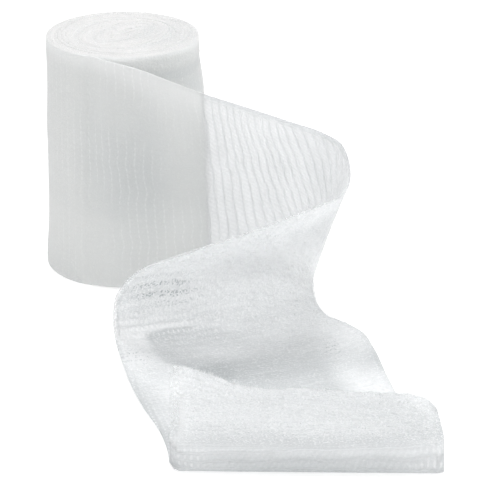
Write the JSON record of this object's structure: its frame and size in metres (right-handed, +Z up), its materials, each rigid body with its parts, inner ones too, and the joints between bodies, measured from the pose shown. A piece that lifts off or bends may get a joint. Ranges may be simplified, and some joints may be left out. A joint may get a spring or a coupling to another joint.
{
  "type": "gauze bandage roll",
  "caption": "Wound roll of knitted gauze bandage standing on its end, its loose tail leaning out, turning back and folded over on the surface.",
  "frame": {"origin": "middle of the roll's flat lower end, on the surface that everything rests on", "axes": "+Z up along the roll's winding axis; -Y towards the front fold of the tail; +X to the right, where the tail turns back"},
  "size_m": [0.1183, 0.1907, 0.0755],
  "materials": {
    "wound_gauze": "white knitted gauze, wound in many fine turns, matt with a soft nap",
    "loose_gauze": "white knitted gauze in a single layer, ribbed, a little see-through, fuzzy on its inner side"
  },
  "bodies": {
    "root": {"roll": "wound_gauze", "tail": "loose_gauze"}
  },
  "joints": []
}
